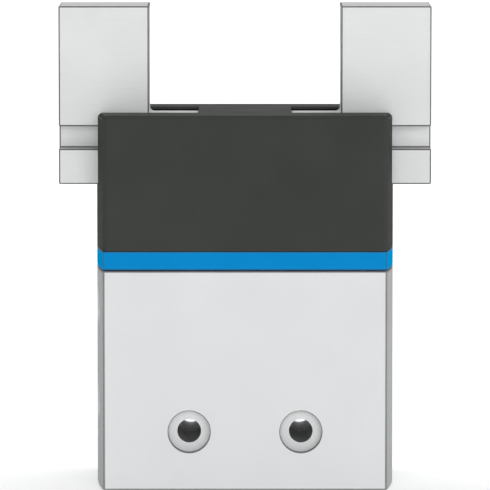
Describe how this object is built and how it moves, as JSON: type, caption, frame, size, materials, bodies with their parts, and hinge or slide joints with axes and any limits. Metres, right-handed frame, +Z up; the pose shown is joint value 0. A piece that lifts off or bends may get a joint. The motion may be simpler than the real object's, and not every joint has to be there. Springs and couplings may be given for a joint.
{
  "type": "parallel pneumatic gripper",
  "caption": "Double-acting parallel gripper: block body with convex sides, dark cover, blue trim ring and T-slot jaws that slide together, driven by a piston through levers.",
  "frame": {"origin": "middle of the bottom face of the body", "axes": "+X along the jaws' travel, to the right seen from the front; -Y out of the front face with the sleeve recesses; +Z up to the jaws"},
  "size_m": [0.107, 0.048, 0.1382],
  "materials": {
    "anodised_silver": "fine matt anodised, milled flat",
    "trim_blue": "smooth satin moulded plastic",
    "cover_plastic": "dark graphite moulded plastic, fine texture",
    "jaw_steel": "nickel-plated, ground",
    "ground_steel": "ground",
    "screw_steel": "black oxide",
    "bearing_bronze": "sintered bronze",
    "piston_aluminium": "turned",
    "seal_rubber": "matt nitrile rubber",
    "guide_band_plastic": "filled plastic band",
    "plastic_magnet": "plastic-bonded ferrite",
    "brass": "turned"
  },
  "bodies": {
    "housing": {"cylinder_body": "anodised_silver", "guide_body": "anodised_silver", "trim_ring": "trim_blue", "cover": "cover_plastic", "rod_gland": "piston_aluminium", "rod_seal": "seal_rubber", "gland_o_ring": "seal_rubber", "left_lever_pin": "ground_steel", "right_lever_pin": "ground_steel", "guide_screw_front_left": "screw_steel", "guide_screw_front_right": "screw_steel", "guide_screw_rear_left": "screw_steel", "guide_screw_rear_right": "screw_steel", "port_throttle_lower": "brass", "port_throttle_upper": "brass"},
    "piston_assembly": {"piston": "piston_aluminium", "piston_rod": "ground_steel", "piston_screw": "screw_steel", "piston_seal_lower": "seal_rubber", "piston_seal_upper": "seal_rubber", "piston_guide_band": "guide_band_plastic", "piston_magnet": "plastic_magnet"},
    "jaw_left": {"left_jaw": "jaw_steel"},
    "jaw_right": {"right_jaw": "jaw_steel"},
    "lever_left": {"left_lever": "ground_steel", "left_lever_bush": "bearing_bronze"},
    "lever_right": {"right_lever": "ground_steel", "right_lever_bush": "bearing_bronze"}
  },
  "joints": [
    {"name": "piston_slide", "type": "slide", "parent": "housing", "child": "piston_assembly", "axis": [0, 0, -1], "range_m": [0, 0.0125]},
    {"name": "left_jaw_slide", "type": "slide", "parent": "housing", "child": "jaw_left", "axis": [1, 0, 0], "range_m": [0, 0.0125]},
    {"name": "right_jaw_slide", "type": "slide", "parent": "housing", "child": "jaw_right", "axis": [-1, 0, 0], "range_m": [0, 0.0125]},
    {"name": "left_lever_swing", "type": "hinge", "parent": "housing", "child": "lever_left", "pos_m": [-0.022, 0, 0.076], "axis": [0, 1, 0], "range_deg": [0, 46]},
    {"name": "right_lever_swing", "type": "hinge", "parent": "housing", "child": "lever_right", "pos_m": [0.022, 0, 0.076], "axis": [0, -1, 0], "range_deg": [0, 46]}
  ],
  "couplings": [
    {"joint": "left_jaw_slide", "follows": "piston_slide", "ratio": 1},
    {"joint": "right_jaw_slide", "follows": "piston_slide", "ratio": 1},
    {"joint": "left_lever_swing", "follows": "piston_slide", "rad_per_m": 64.21},
    {"joint": "right_lever_swing", "follows": "piston_slide", "rad_per_m": 64.21}
  ]
}
